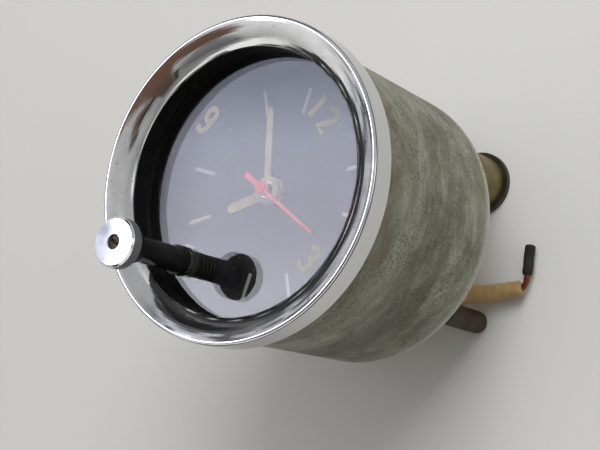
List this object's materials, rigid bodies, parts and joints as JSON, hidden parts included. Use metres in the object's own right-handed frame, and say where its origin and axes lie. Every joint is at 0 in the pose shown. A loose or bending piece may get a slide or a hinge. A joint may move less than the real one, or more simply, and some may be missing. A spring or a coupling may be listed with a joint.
{
  "type": "dashboard clock",
  "caption": "Round dashboard clock with a polished dished bezel, flat glass over a black dial, three hands, a push-and-turn setting knob and rear studs.",
  "frame": {"origin": "centre of the bounding box's bottom face, on the plane that the rear fittings stand on", "axes": "+Z from the back to the dial, +Y towards twelve o'clock, +X towards three o'clock"},
  "size_m": [0.0638, 0.0638, 0.081],
  "materials": {
    "zinc": "weathered zinc with fine mottling",
    "chrome": "polished chrome",
    "black_wall": "matt black",
    "glass": "clear flat glass",
    "seal": "black rubber",
    "cream_paint": "matt cream paint",
    "red_paint": "satin red paint",
    "black_gloss": "polished black",
    "brass": "satin brass",
    "steel": "fine ground",
    "old_brass": "tarnished",
    "dark_iron": "oxidised brown",
    "fibre": "pressed red-brown fibre",
    "copper": "bare copper",
    "cloth": "waxed tan cloth"
  },
  "bodies": {
    "case": {"case": "zinc", "bezel": "chrome", "lens_retainer": "black_wall", "dial_spacer": "black_wall", "dial": "black_wall", "lens": "glass", "bulb": "glass", "lens_gasket": "seal", "lead_tip": "seal", "hour_batons": "cream_paint", "stem_bush": "black_gloss", "front_plate": "brass", "rear_plate": "brass", "pillars": "brass", "dial_posts": "brass", "balance_cock": "brass", "contact_blade": "brass", "terminal_post": "brass", "terminal_nuts": "brass", "lead_eyelet": "brass", "seat_ring": "steel", "setting_spring": "steel", "pivot_studs": "steel", "hairspring": "steel", "coil_core": "steel", "coil_yoke": "steel", "bulb_holder": "old_brass", "mount_studs": "dark_iron", "holder_cap": "dark_iron", "coil_bobbin": "fibre", "contact_block": "fibre", "terminal_insulators": "fibre", "coil_winding": "copper", "lead_core": "copper", "lead_sleeve": "cloth"},
    "setting_slide": {"spring_cup": "black_gloss"},
    "setting": {"setting_stem": "black_gloss", "setting_knob": "chrome", "knob_screw": "brass", "setting_pinion": "brass"},
    "seconds": {"second_hand": "red_paint", "fourth_wheel": "brass"},
    "minutes": {"minute_hand": "cream_paint", "cannon_pinion": "steel", "center_wheel": "brass", "mainspring": "steel"},
    "hours": {"hour_hand": "cream_paint", "hour_wheel": "brass"},
    "minute_gear": {"minute_wheel": "brass"},
    "third": {"third_wheel": "brass"},
    "escape": {"escape_wheel": "brass"},
    "lever": {"pallet_lever": "steel"},
    "balance": {"balance_wheel": "brass", "balance_staff": "steel"},
    "index": {"regulator": "steel"},
    "ratchet": {"ratchet_wheel": "steel"},
    "click": {"click": "steel"},
    "armature": {"armature": "steel"}
  },
  "joints": [
    {"name": "knob_push", "type": "slide", "parent": "case", "child": "setting_slide", "axis": [0, 0, -1], "range_m": [0, 0.0022], "stiffness_N_per_m": 300, "springref_m": -0.001, "deforming": ["setting_spring"]},
    {"name": "knob_turn", "type": "hinge", "parent": "setting_slide", "child": "setting", "pos_m": [-0.00099, -0.0217, 0.075], "axis": [0, 0, -1], "continuous": true},
    {"name": "seconds_turn", "type": "hinge", "parent": "case", "child": "seconds", "pos_m": [0, 0, 0.05], "axis": [0, 0, -1], "continuous": true},
    {"name": "minute_turn", "type": "hinge", "parent": "case", "child": "minutes", "pos_m": [0, 0, 0.05], "axis": [0, 0, -1], "continuous": true},
    {"name": "hour_turn", "type": "hinge", "parent": "case", "child": "hours", "pos_m": [0, 0, 0.05], "axis": [0, 0, -1], "continuous": true},
    {"name": "minute_wheel_turn", "type": "hinge", "parent": "case", "child": "minute_gear", "pos_m": [0.00125, -0.01093, 0.048], "axis": [0, 0, -1], "continuous": true},
    {"name": "third_turn", "type": "hinge", "parent": "case", "child": "third", "pos_m": [-0.00842, 0.00486, 0.04], "axis": [0, 0, -1], "continuous": true},
    {"name": "escape_turn", "type": "hinge", "parent": "case", "child": "escape", "pos_m": [-0.00558, -0.00796, 0.036], "axis": [0, 0, -1], "continuous": true},
    {"name": "lever_rock", "type": "hinge", "parent": "case", "child": "lever", "pos_m": [-0.00835, -0.01193, 0.0355], "axis": [0, 0, 1], "range_deg": [-3.5, 3.5]},
    {"name": "balance_swing", "type": "hinge", "parent": "case", "child": "balance", "pos_m": [-0.01151, -0.01644, 0.0386], "axis": [0, 0, 1], "range_deg": [-135, 135], "stiffness_Nm_per_rad": 0.000002},
    {"name": "regulator_turn", "type": "hinge", "parent": "case", "child": "index", "pos_m": [-0.01151, -0.01644, 0.0418], "axis": [0, 0, 1], "range_deg": [-20, 20]},
    {"name": "ratchet_turn", "type": "hinge", "parent": "case", "child": "ratchet", "pos_m": [0, 0, 0.0405], "axis": [0, 0, -1], "continuous": true},
    {"name": "click_swing", "type": "hinge", "parent": "case", "child": "click", "pos_m": [0.00836, -0.00995, 0.0405], "axis": [0, 0, 1], "range_deg": [0, 10]},
    {"name": "armature_swing", "type": "hinge", "parent": "case", "child": "armature", "pos_m": [0.0134, 0.0106, 0.039], "axis": [0, 0, 1], "range_deg": [0, 3.5]}
  ],
  "couplings": [
    {"joint": "minute_turn", "follows": "seconds_turn", "ratio": 0.016667},
    {"joint": "hour_turn", "follows": "seconds_turn", "ratio": 0.0013889},
    {"joint": "minute_wheel_turn", "follows": "seconds_turn", "ratio": -0.0055556},
    {"joint": "third_turn", "follows": "seconds_turn", "ratio": -0.13333},
    {"joint": "escape_turn", "follows": "seconds_turn", "ratio": -8}
  ]
}
